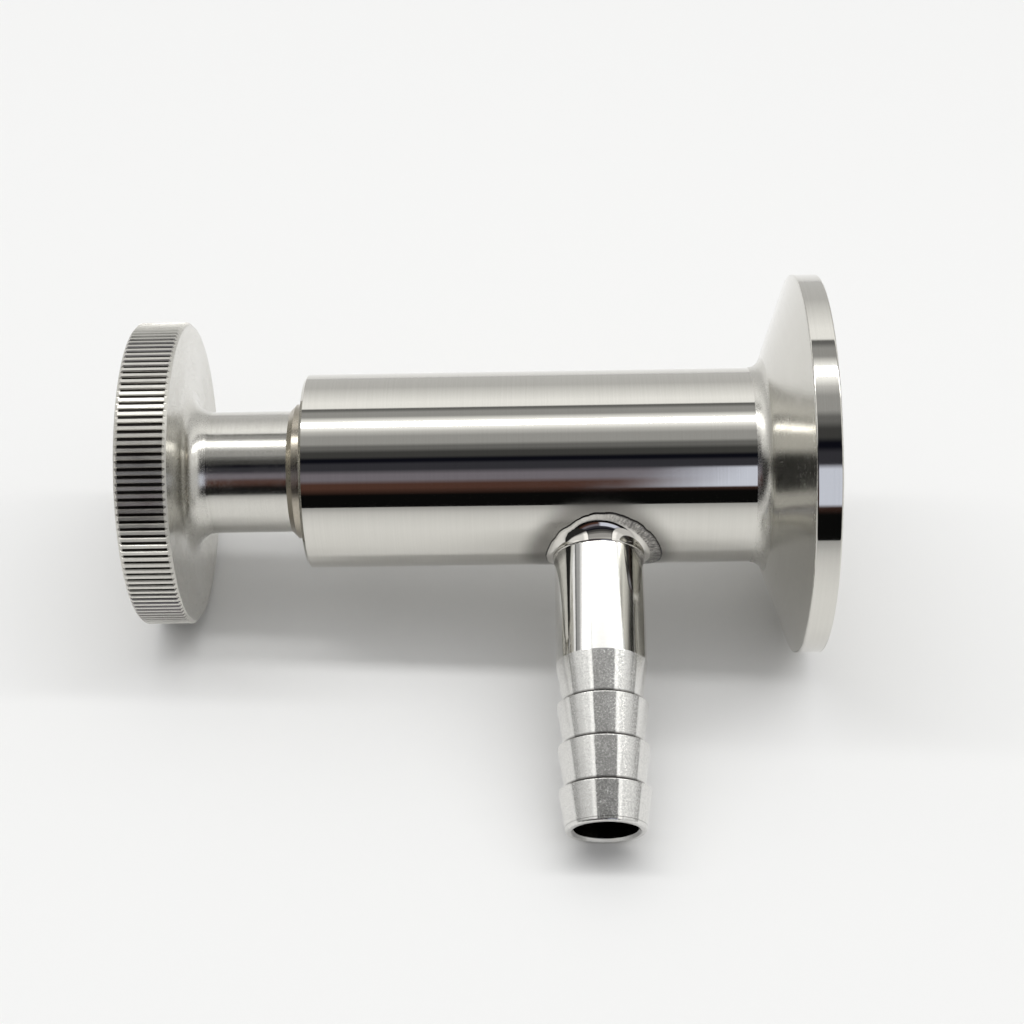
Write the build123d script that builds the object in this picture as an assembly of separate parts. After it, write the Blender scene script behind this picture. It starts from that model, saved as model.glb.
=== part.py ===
from build123d import *
import os
from math import cos, pi, radians, sin, sqrt, tan

# Sanitary sampling valve, in millimetres.
# The origin is the centre of the ferrule's sealing face. +X points out of that face,
# the handwheel is at -X, and the outlet points down, along -Z.
# A station is a distance from the sealing face towards the handwheel, so x = -station.
# A depth is a distance from the valve's axis down the outlet, so z = -depth.

# Clamp ferrule
ferrule_diameter = 50.5
rim_width = 3.25
rim_edge_break = 0.3
bevel_angle = 20.0
hub_fillet = 2.0
hub_length = 4.3
gasket_groove_diameter = 43.6
gasket_groove_section = 1.6

# Port and seat in the ferrule
port_diameter = 12.0
port_land = 2.2
seat_angle = 45.0
seat_overlap = 1.35

# Barrel, whose bores are set by the plunger that has to pass, and its outside by its wall
plunger_bore_relief = 0.65
plunger_bore_length = 18.3
plunger_bore_lead = 0.5
chamber_step = 1.5
chamber_run_out = 0.7
chamber_lead_angle = 30.0
gland_bore_step = 2.0
gland_bore_length = 15.5
barrel_wall = 3.0
barrel_edge_break = 0.35

# Outlet with its hose barb
outlet_station = 29.3
barb_land_diameter = 11.75
barb_land_length = 14.8
barb_shoulder = 0.575
barb_socket_depth = 2.0
barb_count = 4
barb_pitch = 5.64
barb_last_length = 5.04
barb_height = 0.85
barb_wall = 1.025
barb_bore_chamfer = 0.35
barb_tip_round = 0.3

# Weld round the outlet, and the patch that was ground beside it
weld_foot_growth = 0.7
weld_height = 0.7
weld_toe = 0.06
patch_diameter = 15.6
patch_shift = 0.7
patch_height = 0.12

# Drive thread, which sets how far the plunger travels
thread_pitch = 1.75
opening_turns = 3
stop_washer_thickness = 1.0
stop_washer_hole_gap = 0.6
nut_length = 6.0

# Gland bush
bush_shoulder = 1.0
bush_nose_wall = 0.825
bush_nose_length = 2.15
bush_nose_chamfer = 0.75
bush_face_recess = 0.2
gland_seal_setback = 1.7
gland_seal_width = 2.2
gland_seal_depth = 1.1
wiper_setback = 1.4
wiper_width = 2.0
wiper_depth = 0.85

# Handwheel
neck_reach = 13.35
neck_set_back = 0.7
neck_fillet = 3.0
neck_end_chamfer = 0.4
wheel_diameter = 40.4
wheel_width = 6.65
wheel_chamfer = 0.45
knurl_teeth = 132
knurl_depth = 0.3
knurl_crest_share = 0.42
knurl_root_share = 0.16
centre_mark_diameter = 2.6
centre_mark_depth = 1.1

# Plunger
nose_setback = 0.4
nose_edge_round = 0.4
nose_gap = 0.25
stud_diameter = 4.0
stud_length = 8.0
seat_ring_width = 3.4
seat_gap = 0.2
flange_setback = 0.35
flange_width = 1.6
flange_taper = 2.4
stem_diameter = 9.0
stem_fillet = 1.5
piston_length = 12.0
piston_chamfer = 0.3
seal_land = 1.5
seal_groove_width = 2.4
seal_groove_depth = 1.65
socket_floor_setback = 8.7

# Spindle and its swivel in the plunger
swivel_socket_wall = 2.25
swivel_shoulder = 2.0
swivel_nose_chamfer = 0.4
swivel_end_gap = 0.3
swivel_pin_diameter = 2.0
swivel_pin_setback = 2.7
swivel_pin_end_gap = 0.07
swivel_groove_side_gap = 0.2
swivel_groove_floor_gap = 0.25
thrust_washer_thickness = 0.8
thrust_washer_gap = 0.05
shank_diameter = 8.0
shank_length = 20.0
spindle_pin_diameter = 2.4
spindle_pin_setback = 3.5
spindle_pin_end_gap = 0.4

# Clearances on the radius
running_clearance = 0.05
seal_clearance = 0.03
fixed_clearance = 0.02

# Radii that several pieces share
ferrule_radius = ferrule_diameter / 2
port_radius = port_diameter / 2
seat_ring_radius = port_radius + seat_overlap
plunger_bore_radius = seat_ring_radius + plunger_bore_relief
chamber_radius = plunger_bore_radius + chamber_step
gland_bore_radius = plunger_bore_radius + gland_bore_step
barrel_radius = gland_bore_radius + barrel_wall
barb_land_radius = barb_land_diameter / 2
barb_spigot_radius = barb_land_radius - barb_shoulder
barb_root_radius = barb_land_radius - barb_height
barb_bore_radius = barb_root_radius - barb_wall
bush_nose_radius = gland_bore_radius - bush_shoulder
bush_bore_radius = bush_nose_radius - bush_nose_wall
neck_radius = bush_bore_radius - running_clearance
shank_radius = shank_diameter / 2
stud_radius = stud_diameter / 2
piston_radius = plunger_bore_radius - running_clearance
seal_floor_radius = piston_radius - seal_groove_depth
swivel_socket_radius = seal_floor_radius - swivel_socket_wall
swivel_nose_radius = swivel_socket_radius - running_clearance
swivel_pin_radius = swivel_pin_diameter / 2
thread_radius = swivel_nose_radius + swivel_shoulder

# Stations of the fixed pieces
bevel_foot = rim_width + (ferrule_radius - barrel_radius) * tan(radians(bevel_angle))
hub_end = bevel_foot + hub_length
seat_end = port_land + (chamber_radius - port_radius) / tan(radians(seat_angle))
chamber_end = outlet_station + barb_bore_radius + chamber_run_out
chamber_lead = (chamber_radius - plunger_bore_radius) / tan(radians(chamber_lead_angle))
plunger_bore_end = chamber_end + plunger_bore_length
barrel_end = plunger_bore_end + gland_bore_length
nut_front = plunger_bore_end + stop_washer_thickness
bush_front = nut_front + nut_length
bush_end = barrel_end + bush_nose_length
gland_seal_front = bush_front + gland_seal_setback
gland_seal_back = gland_seal_front + gland_seal_width
wiper_front = gland_seal_back + wiper_setback
wiper_back = wiper_front + wiper_width

# Stations of the moving pieces, with the valve closed
travel = thread_pitch * opening_turns
piston_end = plunger_bore_end - travel - running_clearance
piston_front = piston_end - piston_length
ring_front = port_land + nose_setback
ring_back = ring_front + seat_ring_width
swivel_socket_floor = piston_end - socket_floor_setback
swivel_pin_station = swivel_socket_floor + swivel_pin_setback
shoulder = piston_end + thrust_washer_thickness + 2 * thrust_washer_gap
neck_front = bush_front + neck_set_back
wheel_face = bush_end + neck_reach
wheel_end = wheel_face + wheel_width
shank_end = neck_front + shank_length

# Depths along the outlet
socket_floor_depth = barrel_radius - barb_socket_depth
weld_toe_depth = barrel_radius + weld_height
land_end_depth = weld_toe_depth + barb_land_length
barb_tip_depth = land_end_depth + barb_pitch * (barb_count - 1) + barb_last_length


def turned(*corners):
    """Solid turned about the valve's axis from corners (station, radius[, fillet])."""
    points = [(-corner[0], corner[1]) for corner in corners]
    fillets = [corner[2] if len(corner) > 2 else 0 for corner in corners]
    outline = FilletPolyline(*points, radius=fillets, close=True)
    return revolve(make_face(outline), Axis.X)


def down_the_outlet(solid):
    """Turns a piece made about the valve's axis so that it hangs down the outlet."""
    return Pos(-outlet_station, 0, 0) * Rot(0, -90, 0) * solid


def rod(station, y, radius, half_length):
    """Round rod across the valve, along Z, centred at a station."""
    return Pos(-station, y, 0) * Cylinder(radius, 2 * half_length)


def seal(front, width, inner_radius, outer_radius, round_share):
    """Ring seal with rounded edges, as it lies squeezed in its groove."""
    corner = round_share * min(width, outer_radius - inner_radius)
    back = front + width
    return turned(
        (front, inner_radius, corner),
        (front, outer_radius, corner),
        (back, outer_radius, corner),
        (back, inner_radius, corner),
    )


def clamp_ferrule():
    """Clamp ferrule with its gasket groove, the port and the conical seat."""
    blank = turned(
        (0, port_radius),
        (0, ferrule_radius, rim_edge_break),
        (rim_width, ferrule_radius, rim_edge_break),
        (bevel_foot, barrel_radius, hub_fillet),
        (hub_end, barrel_radius),
        (hub_end, chamber_radius),
        (seat_end, chamber_radius),
        (port_land, port_radius),
    )
    groove = Rot(0, 90, 0) * Torus(gasket_groove_diameter / 2, gasket_groove_section)
    return blank - groove


def barrel():
    """Barrel with the chamber, the plunger's bore, the gland's bore and the outlet's socket."""
    tube = turned(
        (hub_end, barrel_radius),
        (barrel_end - barrel_edge_break, barrel_radius),
        (barrel_end, barrel_radius - barrel_edge_break),
        (barrel_end, gland_bore_radius),
        (plunger_bore_end, gland_bore_radius),
        (plunger_bore_end, plunger_bore_radius + plunger_bore_lead),
        (plunger_bore_end - plunger_bore_lead, plunger_bore_radius),
        (chamber_end, plunger_bore_radius),
        (chamber_end - chamber_lead, chamber_radius),
        (hub_end, chamber_radius),
    )
    socket = turned(
        (socket_floor_depth, 0),
        (socket_floor_depth, barb_spigot_radius + fixed_clearance),
        (barrel_radius + 1, barb_spigot_radius + fixed_clearance),
        (barrel_radius + 1, 0),
    )
    passage = turned(
        (0, 0),
        (0, barb_bore_radius),
        (barrel_radius, barb_bore_radius),
        (barrel_radius, 0),
    )
    return tube - down_the_outlet(socket) - down_the_outlet(passage)


def hose_barb():
    """Outlet tube: a spigot in the barrel, a plain land, then barbs that taper to the tip."""
    corners = [
        (socket_floor_depth, barb_bore_radius),
        (socket_floor_depth, barb_spigot_radius),
        (weld_toe_depth, barb_spigot_radius),
        (weld_toe_depth, barb_land_radius),
    ]
    for barb in range(barb_count):
        crest_depth = land_end_depth + barb * barb_pitch
        if barb > 0:
            corners.append((crest_depth, barb_root_radius))
        corners.append((crest_depth, barb_land_radius))
    corners.append((barb_tip_depth, barb_root_radius, barb_tip_round))
    corners.append((barb_tip_depth, barb_bore_radius + barb_bore_chamfer))
    corners.append((barb_tip_depth - barb_bore_chamfer, barb_bore_radius))
    return down_the_outlet(turned(*corners))


def outlet_weld():
    """Weld collar round the root of the outlet, with the ground patch on the barrel."""
    foot_depth = socket_floor_depth - 1
    collar = turned(
        (foot_depth, 0),
        (foot_depth, barb_land_radius + weld_foot_growth),
        (weld_toe_depth, barb_land_radius + weld_toe),
        (weld_toe_depth, 0),
    )
    patch_reach = barrel_radius + patch_height
    patch_disc = Pos(-outlet_station + patch_shift, 0, -patch_reach / 2) * Cylinder(
        patch_diameter / 2, patch_reach
    )
    patch = patch_disc & turned(
        (0, 0), (0, patch_reach), (barrel_end, patch_reach), (barrel_end, 0)
    )
    barrel_space = turned(
        (0, 0), (0, barrel_radius), (barrel_end, barrel_radius), (barrel_end, 0)
    )
    barb_space = turned(
        (0, 0),
        (0, barb_spigot_radius + fixed_clearance),
        (weld_toe_depth, barb_spigot_radius + fixed_clearance),
        (weld_toe_depth, 0),
    )
    weld = down_the_outlet(collar) + patch
    return weld - barrel_space - down_the_outlet(barb_space)


def gland_bush():
    """Threaded bush that guides the neck, with seal grooves and a chamfered nose."""
    outer = gland_bore_radius - fixed_clearance
    seal_floor = gland_bore_radius - gland_seal_depth
    wiper_floor = bush_bore_radius + wiper_depth
    shoulder_face = barrel_end - bush_face_recess
    return turned(
        (bush_front, bush_bore_radius),
        (bush_front, outer),
        (gland_seal_front, outer),
        (gland_seal_front, seal_floor),
        (gland_seal_back, seal_floor),
        (gland_seal_back, outer),
        (shoulder_face, outer),
        (shoulder_face, bush_nose_radius),
        (bush_end - bush_nose_chamfer, bush_nose_radius),
        (bush_end, bush_nose_radius - bush_nose_chamfer),
        (bush_end, bush_bore_radius),
        (wiper_back, bush_bore_radius),
        (wiper_back, wiper_floor),
        (wiper_front, wiper_floor),
        (wiper_front, bush_bore_radius),
    )


def gland_oring():
    """Static seal between the gland bush and the barrel."""
    inner = gland_bore_radius - gland_seal_depth + fixed_clearance
    outer = gland_bore_radius - fixed_clearance
    front = gland_seal_front + fixed_clearance
    return seal(front, gland_seal_width - 2 * fixed_clearance, inner, outer, 0.45)


def neck_wiper():
    """Wiper ring in the gland bush, which runs on the neck."""
    front = wiper_front + fixed_clearance
    outer = bush_bore_radius + wiper_depth - fixed_clearance
    width = wiper_width - 2 * fixed_clearance
    return seal(front, width, neck_radius + seal_clearance, outer, 0.2)


def stop_washer():
    """Washer between the barrel's shoulder and the nut: the plunger stops on it when open."""
    hole = thread_radius + stop_washer_hole_gap
    outer = gland_bore_radius - fixed_clearance
    return turned((plunger_bore_end, hole), (plunger_bore_end, outer), (nut_front, outer), (nut_front, hole))


def drive_nut():
    """Nut in which the spindle's thread turns, clamped by the gland bush."""
    hole = thread_radius + running_clearance
    outer = gland_bore_radius - fixed_clearance
    return turned((nut_front, hole), (nut_front, outer), (bush_front, outer), (bush_front, hole))


def knurled_outline():
    """Outline of the wheel's rim across the axis: crests and grooves, all the way round."""
    crest = wheel_diameter / 2
    root = crest - knurl_depth
    pitch_angle = 2 * pi / knurl_teeth
    half_crest = knurl_crest_share * pitch_angle / 2
    half_root = knurl_root_share * pitch_angle / 2
    points = []
    for tooth in range(knurl_teeth):
        middle = tooth * pitch_angle
        groove = middle + pitch_angle / 2
        for radius, angle in (
            (crest, middle - half_crest),
            (crest, middle + half_crest),
            (root, groove - half_root),
            (root, groove + half_root),
        ):
            points.append((radius * cos(angle), radius * sin(angle)))
    return make_face(Polyline(*points, close=True))


def handwheel():
    """Handwheel and neck, turned from one bar, with a straight knurl on the rim."""
    blank_radius = wheel_diameter / 2 + wheel_chamfer
    face_radius = wheel_diameter / 2 - wheel_chamfer
    chamfer_run = 2 * wheel_chamfer
    hole = shank_radius + fixed_clearance
    blank = turned(
        (neck_front, hole),
        (neck_front, neck_radius - neck_end_chamfer),
        (neck_front + neck_end_chamfer, neck_radius),
        (wheel_face, neck_radius, neck_fillet),
        (wheel_face, face_radius),
        (wheel_face + chamfer_run, blank_radius),
        (wheel_end - chamfer_run, blank_radius),
        (wheel_end, face_radius),
        (wheel_end, centre_mark_diameter / 2),
        (wheel_end - centre_mark_depth, 0),
        (shank_end + fixed_clearance, 0),
        (shank_end + fixed_clearance, hole),
    )
    length = wheel_end - neck_front + 2
    knurl_bar = Pos(-wheel_end - 1, 0, 0) * Rot(0, 90, 0) * extrude(knurled_outline(), amount=length)
    return (blank & knurl_bar) - spindle_pin_hole()


def spindle_pin_hole():
    """Cross hole through neck and spindle for the pin that locks them."""
    station = neck_front + spindle_pin_setback
    return rod(station, 0, spindle_pin_diameter / 2 + fixed_clearance, neck_radius + 1)


def spindle_pin():
    """Cross pin that locks the spindle in the neck, sunk below the neck's surface."""
    station = neck_front + spindle_pin_setback
    return rod(station, 0, spindle_pin_diameter / 2, neck_radius - spindle_pin_end_gap)


def spindle():
    """Spindle: swivel nose with its groove, drive thread and shank, the thread drawn plain."""
    nose_front = swivel_socket_floor + swivel_end_gap
    groove_half = swivel_pin_radius + swivel_groove_side_gap
    groove_front = swivel_pin_station - groove_half
    groove_back = swivel_pin_station + groove_half
    groove_floor = swivel_socket_radius - swivel_pin_radius - swivel_groove_floor_gap
    bar = turned(
        (nose_front, 0),
        (nose_front, swivel_nose_radius - swivel_nose_chamfer),
        (nose_front + swivel_nose_chamfer, swivel_nose_radius),
        (groove_front, swivel_nose_radius),
        (groove_front, groove_floor),
        (groove_back, groove_floor),
        (groove_back, swivel_nose_radius),
        (shoulder, swivel_nose_radius),
        (shoulder, thread_radius),
        (neck_front, thread_radius),
        (neck_front, shank_radius),
        (shank_end, shank_radius),
        (shank_end, 0),
    )
    return bar - spindle_pin_hole()


def thrust_washer():
    """Washer through which the spindle's shoulder pushes the plunger."""
    front = piston_end + thrust_washer_gap
    back = front + thrust_washer_thickness
    hole = swivel_socket_radius
    return turned((front, hole), (front, thread_radius), (back, thread_radius), (back, hole))


def rod_pair(radius, half_length):
    """Two rods that lie across the spindle's groove, one each side of it."""
    pair = rod(swivel_pin_station, swivel_socket_radius, radius, half_length)
    return pair + rod(swivel_pin_station, -swivel_socket_radius, radius, half_length)


def swivel_pins():
    """Two cross pins that hold the spindle's nose in the plunger, no longer than the seals allow."""
    widest = swivel_socket_radius + swivel_pin_radius
    half_length = sqrt(seal_floor_radius**2 - widest**2) - swivel_pin_end_gap
    return rod_pair(swivel_pin_radius, half_length)


def plunger():
    """Plunger: flange behind the seat ring, slim stem, and piston with two seal grooves."""
    flange_radius = seat_ring_radius - flange_setback
    flange_back = ring_back + flange_width
    stem_radius = stem_diameter / 2
    stud_hole = stud_radius + fixed_clearance
    stud_hole_end = ring_front + stud_length + 1
    front_groove = piston_front + seal_land
    rear_groove_end = piston_end - seal_land
    corners = [
        (ring_back, stud_hole),
        (ring_back, flange_radius),
        (flange_back, flange_radius),
        (flange_back + flange_taper, stem_radius),
        (piston_front, stem_radius, stem_fillet),
        (piston_front, piston_radius - piston_chamfer),
        (piston_front + piston_chamfer, piston_radius),
    ]
    for groove_front in (front_groove, rear_groove_end - seal_groove_width):
        corners.append((groove_front, piston_radius))
        corners.append((groove_front, seal_floor_radius))
        corners.append((groove_front + seal_groove_width, seal_floor_radius))
        corners.append((groove_front + seal_groove_width, piston_radius))
    corners += [
        (piston_end - piston_chamfer, piston_radius),
        (piston_end, piston_radius - piston_chamfer),
        (piston_end, swivel_socket_radius),
        (swivel_socket_floor, swivel_socket_radius),
        (swivel_socket_floor, 0),
        (stud_hole_end, 0),
        (stud_hole_end, stud_hole),
    ]
    pin_holes = rod_pair(swivel_pin_radius + fixed_clearance, piston_radius + 1)
    return turned(*corners) - pin_holes


def plunger_oring(groove_front):
    """Seal in one of the plunger's grooves, which runs in the plunger's bore."""
    front = groove_front + fixed_clearance
    inner = seal_floor_radius + fixed_clearance
    outer = plunger_bore_radius - seal_clearance
    return seal(front, seal_groove_width - 2 * fixed_clearance, inner, outer, 0.4)


def nose_cap():
    """Polished nose in the port, with the stud that clamps the seat ring."""
    nose_radius = port_radius - nose_gap
    stud_end = ring_front + stud_length
    return turned(
        (nose_setback, 0),
        (nose_setback, nose_radius, nose_edge_round),
        (ring_front, nose_radius),
        (ring_front, stud_radius),
        (stud_end, stud_radius),
        (stud_end, 0),
    )


def seat_ring():
    """Conical seal ring that closes the seat, clamped between nose cap and plunger."""
    slope = tan(radians(seat_angle))
    setback = seat_gap / cos(radians(seat_angle))
    front_radius = port_radius + nose_setback * slope - setback
    cone_end = ring_front + (seat_ring_radius - front_radius) / slope
    hole = stud_radius + fixed_clearance
    return turned(
        (ring_front, hole),
        (ring_front, front_radius),
        (cone_end, seat_ring_radius),
        (ring_back, seat_ring_radius),
        (ring_back, hole),
    )


def build_all():
    """All pieces by name."""
    return {
        "clamp_ferrule": clamp_ferrule(),
        "barrel": barrel(),
        "hose_barb": hose_barb(),
        "outlet_weld": outlet_weld(),
        "gland_bush": gland_bush(),
        "gland_oring": gland_oring(),
        "neck_wiper": neck_wiper(),
        "stop_washer": stop_washer(),
        "drive_nut": drive_nut(),
        "nose_cap": nose_cap(),
        "seat_ring": seat_ring(),
        "plunger": plunger(),
        "plunger_oring_front": plunger_oring(piston_front + seal_land),
        "plunger_oring_rear": plunger_oring(piston_end - seal_land - seal_groove_width),
        "swivel_pins": swivel_pins(),
        "handwheel": handwheel(),
        "spindle": spindle(),
        "spindle_pin": spindle_pin(),
        "thrust_washer": thrust_washer(),
    }


os.makedirs("parts", exist_ok=True)
for name, solid in build_all().items():
    export_step(solid, f"parts/{name}.step")
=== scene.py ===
"""Sanitary sampling valve in stainless steel: its finishes, its outlet weld, and the table it lies on."""

import logging
import math
from dataclasses import dataclass, field
from enum import Enum

import bpy
from mathutils import Matrix, Vector, noise


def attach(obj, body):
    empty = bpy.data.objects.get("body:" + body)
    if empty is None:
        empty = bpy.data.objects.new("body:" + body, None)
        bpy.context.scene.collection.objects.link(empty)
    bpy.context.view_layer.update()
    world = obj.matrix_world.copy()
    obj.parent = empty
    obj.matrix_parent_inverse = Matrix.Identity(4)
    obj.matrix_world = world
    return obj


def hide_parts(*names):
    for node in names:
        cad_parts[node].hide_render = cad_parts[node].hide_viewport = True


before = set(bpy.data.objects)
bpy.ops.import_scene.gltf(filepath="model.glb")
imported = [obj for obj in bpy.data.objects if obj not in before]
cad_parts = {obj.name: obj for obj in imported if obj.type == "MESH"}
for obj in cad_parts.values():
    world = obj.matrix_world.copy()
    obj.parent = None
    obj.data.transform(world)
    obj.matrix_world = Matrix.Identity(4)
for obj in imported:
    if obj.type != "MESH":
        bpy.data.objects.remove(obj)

Node = bpy.types.Node
Tree = bpy.types.NodeTree
Pair = tuple[float, float]
Triple = tuple[float, float, float]
Rgba = tuple[float, float, float, float]

LOG = logging.getLogger("sampling_valve")
MM = 0.001  # metres in a millimetre
UM = 1e-6  # metres in a micrometre

OUTLET_STATION = 29.3  # mm from the sealing face to the outlet's line
BARREL_RADIUS = 13.0
WELD_TOE_DEPTH = 13.7  # mm from the valve's line to the top of the outlet's land
LAND_END_DEPTH = 28.5
LAND_RADIUS = 5.875
SHARP_MM = 0.015  # reach of the rounding at a corner that has no fillet
HOLD = 0.4  # how much further out the points that hold an edge tight are, as a share of that reach

# The table that the valve lies on, and the way the photographer faced across it
TABLE_UP = Vector((0.0579, -0.9242, 0.3773))
TABLE_OFFSET = -25.4  # mm from the sealing face's centre to the table, along TABLE_UP
TABLE_FAR = Vector((-0.0029, 0.3778, 0.9259))
TABLE_RIGHT = TABLE_FAR.cross(TABLE_UP).normalized()
VALVE_MIDDLE = Vector((-45, 0, -8))  # mm, the place that the lamps hang over
ARC_END = 200  # degrees from the far horizon, over the top, to the end of the room's ramp


class Turning(Enum):
    """Line that a piece was turned about on the lathe."""

    VALVE = "along the barrel"
    OUTLET = "down the hose barb"


def linear(colour: str) -> Rgba:
    """Turns an sRGB hex colour to linear.

    Args:
        colour: hex colour, such as "#CECBC2".

    Returns:
        Linear red, green and blue, and 1 for alpha.
    """
    shares = [int(colour[at : at + 2], 16) / 255 for at in (1, 3, 5)]
    red, green, blue = (s / 12.92 if s <= 0.04045 else ((s + 0.055) / 1.055) ** 2.4 for s in shares)
    return red, green, blue, 1.0


def add_node(tree: Tree, kind: str, feeds: dict | None = None, **settings) -> Node:
    """Adds one node with its settings and what feeds its sockets.

    Args:
        tree: node tree that takes the node.
        kind: Blender's type name of the node, less the ShaderNode in front.
        feeds: for each input's name or number, a socket, a node or a plain value. A node gives its
            first output in use.
        settings: properties of the node itself.

    Returns:
        The new node.
    """
    node = tree.nodes.new(f"ShaderNode{kind}")
    for name, value in settings.items():
        setattr(node, name, value)
    for slot, source in (feeds or {}).items():
        if isinstance(source, Node):
            source = next(output for output in source.outputs if output.enabled)
        if isinstance(source, bpy.types.NodeSocket):
            tree.links.new(source, node.inputs[slot])
        else:
            node.inputs[slot].default_value = source
    return node


def set_stops(ramp: bpy.types.ColorRamp, stops: list[tuple[float, Rgba]], blend: str = "LINEAR") -> None:
    """Fills a colour ramp.

    Args:
        ramp: the ramp of a Color Ramp node.
        stops: position from 0 to 1 and linear colour of each stop.
        blend: how the ramp goes from stop to stop.
    """
    ramp.interpolation = blend
    while len(ramp.elements) > 1:
        ramp.elements.remove(ramp.elements[-1])
    ramp.elements[0].position, ramp.elements[0].color = stops[0]
    for position, colour in stops[1:]:
        ramp.elements.new(position).color = colour


def blank_material(name: str) -> tuple[bpy.types.Material, Tree]:
    """Makes a material with an empty node tree.

    Args:
        name: name of the material.

    Returns:
        The material and its node tree.
    """
    made = bpy.data.materials.new(name)
    made.use_nodes = True
    made.node_tree.nodes.clear()
    return made, made.node_tree


def place_mm(tree: Tree, station: float) -> Node:
    """Adds the nodes that find a place on the valve in millimetres.

    Args:
        tree: the node tree.
        station: distance from the sealing face to the point that counts as 0 along X.

    Returns:
        A node that gives the place.
    """
    metres = add_node(tree, "TexCoord").outputs["Object"]
    scaled = add_node(tree, "VectorMath", {0: metres, "Scale": 1 / MM}, operation="SCALE")
    return add_node(tree, "VectorMath", {0: scaled, 1: (station, 0, 0)})


def add_surface(tree: Tree, height: Node, relief_um: float, feeds: dict) -> None:
    """Ends a material with its relief, its shader and its output.

    Args:
        tree: the node tree.
        height: height of the relief, 0 to 1.
        relief_um: what a height of 1 stands for.
        feeds: what goes into the shader's inputs.
    """
    bump = add_node(tree, "Bump", {"Distance": relief_um * UM, "Height": height})
    shader = add_node(tree, "BsdfPrincipled", {**feeds, "Normal": bump})
    add_node(tree, "OutputMaterial", {"Surface": shader})


def greys(levels: tuple[Pair, ...], top: float = 1.0) -> list[tuple[float, Rgba]]:
    """Stops of a grey ramp, from the place and level of each and the level that white stands for."""
    return [(at, (level / top, level / top, level / top, 1)) for at, level in levels]


def into_scene(name: str, data: bpy.types.ID) -> bpy.types.Object:
    """Puts a mesh, a lamp or a camera into the scene.

    Args:
        name: name of the new object.
        data: what it shows.

    Returns:
        The new object.
    """
    thing = bpy.data.objects.new(name, data)
    bpy.context.scene.collection.objects.link(thing)
    return thing


@dataclass(frozen=True)
class Zone:
    """Stretch of a turned piece that was finished in one way."""

    start_mm: float  # station, depth or radius where it starts
    roughness: float
    streaks: float  # how far tool marks change the roughness, 0 to 1
    relief: float  # height of the tool marks, as a share of the finish's own


@dataclass(frozen=True)
class Haze:
    """Duller skin round the outlet, where the weld was dressed by hand."""

    inner_mm: float
    outer_mm: float
    roughness: float  # added next to the weld
    ripple_um: float  # height of the unevenness that the flap wheel left
    colour: str = "#6B6863"
    share: float = 0.75  # how much of that colour shows next to the weld
    ripple_mm: float = 1 / 0.7
    top_mm: float = 4.0  # below the valve's line: clean above this
    bottom_mm: float = 8.0  # and hazed in full below this


@dataclass(frozen=True)
class PaintedShade:
    """Painted shade: a darker colour in grooves and roots, where shade falls."""

    start_mm: float
    end_mm: float
    inner_mm: float  # radius where it starts
    outer_mm: float  # radius above which no shade is painted
    soft_mm: float  # how gently it ends there
    colour: str = "#24211F"


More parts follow.
